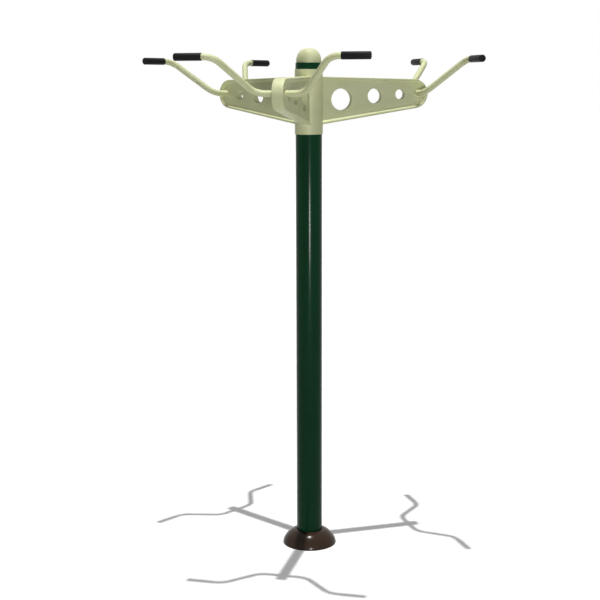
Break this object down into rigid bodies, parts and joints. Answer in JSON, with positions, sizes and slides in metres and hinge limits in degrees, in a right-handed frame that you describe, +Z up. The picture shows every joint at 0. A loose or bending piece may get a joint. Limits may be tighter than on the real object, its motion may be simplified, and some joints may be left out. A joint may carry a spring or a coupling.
{
  "type": "outdoor pull-up bar",
  "caption": "Free-access outdoor pull-up station: round post, domed foot cover, radial webbed arms, and bent pull bars with rubber grips.",
  "frame": {"origin": "centre of the base plate's underside, on the ground", "axes": "+Z up along the post, -Y along the front arm"},
  "size_m": [1.5934, 1.3816, 2.3453],
  "materials": {
    "green_paint": "glossy dark green powder coat",
    "cream_paint": "satin cream powder coat",
    "brown_cover": "glossy dark brown plastic",
    "grip_rubber": "matt black rubber",
    "zinc_steel": "zinc-plated steel"
  },
  "bodies": {
    "station": {"base_plate": "green_paint", "anchor_stud_1": "zinc_steel", "anchor_stud_2": "zinc_steel", "anchor_stud_3": "zinc_steel", "anchor_stud_4": "zinc_steel", "anchor_washer_1": "zinc_steel", "anchor_washer_2": "zinc_steel", "anchor_washer_3": "zinc_steel", "anchor_washer_4": "zinc_steel", "anchor_nut_1": "zinc_steel", "anchor_nut_2": "zinc_steel", "anchor_nut_3": "zinc_steel", "anchor_nut_4": "zinc_steel", "base_gusset_1": "green_paint", "base_gusset_2": "green_paint", "base_gusset_3": "green_paint", "base_gusset_4": "green_paint", "post": "green_paint", "hub_sleeve": "cream_paint", "hub_bolt_1": "zinc_steel", "hub_bolt_2": "zinc_steel", "hub_nut_1": "zinc_steel", "hub_nut_2": "zinc_steel", "top_cap": "cream_paint", "front_arm_band": "cream_paint", "front_arm_plate_left": "cream_paint", "front_arm_plate_right": "cream_paint", "front_arm_ring_large": "cream_paint", "front_arm_ring_medium": "cream_paint", "front_arm_ring_small": "cream_paint", "front_pull_bar": "cream_paint", "front_grip_left": "grip_rubber", "front_grip_right": "grip_rubber", "right_arm_band": "cream_paint", "right_arm_plate_left": "cream_paint", "right_arm_plate_right": "cream_paint", "right_arm_ring_large": "cream_paint", "right_arm_ring_medium": "cream_paint", "right_arm_ring_small": "cream_paint", "right_pull_bar": "cream_paint", "right_grip_left": "grip_rubber", "right_grip_right": "grip_rubber", "left_arm_band": "cream_paint", "left_arm_plate_left": "cream_paint", "left_arm_plate_right": "cream_paint", "left_arm_ring_large": "cream_paint", "left_arm_ring_medium": "cream_paint", "left_arm_ring_small": "cream_paint", "left_pull_bar": "cream_paint", "left_grip_left": "grip_rubber", "left_grip_right": "grip_rubber"},
    "cover": {"base_cover": "brown_cover"}
  },
  "joints": [
    {"name": "cover_slide", "type": "slide", "parent": "station", "child": "cover", "axis": [0, 0, 1], "range_m": [0, 1.88]}
  ]
}
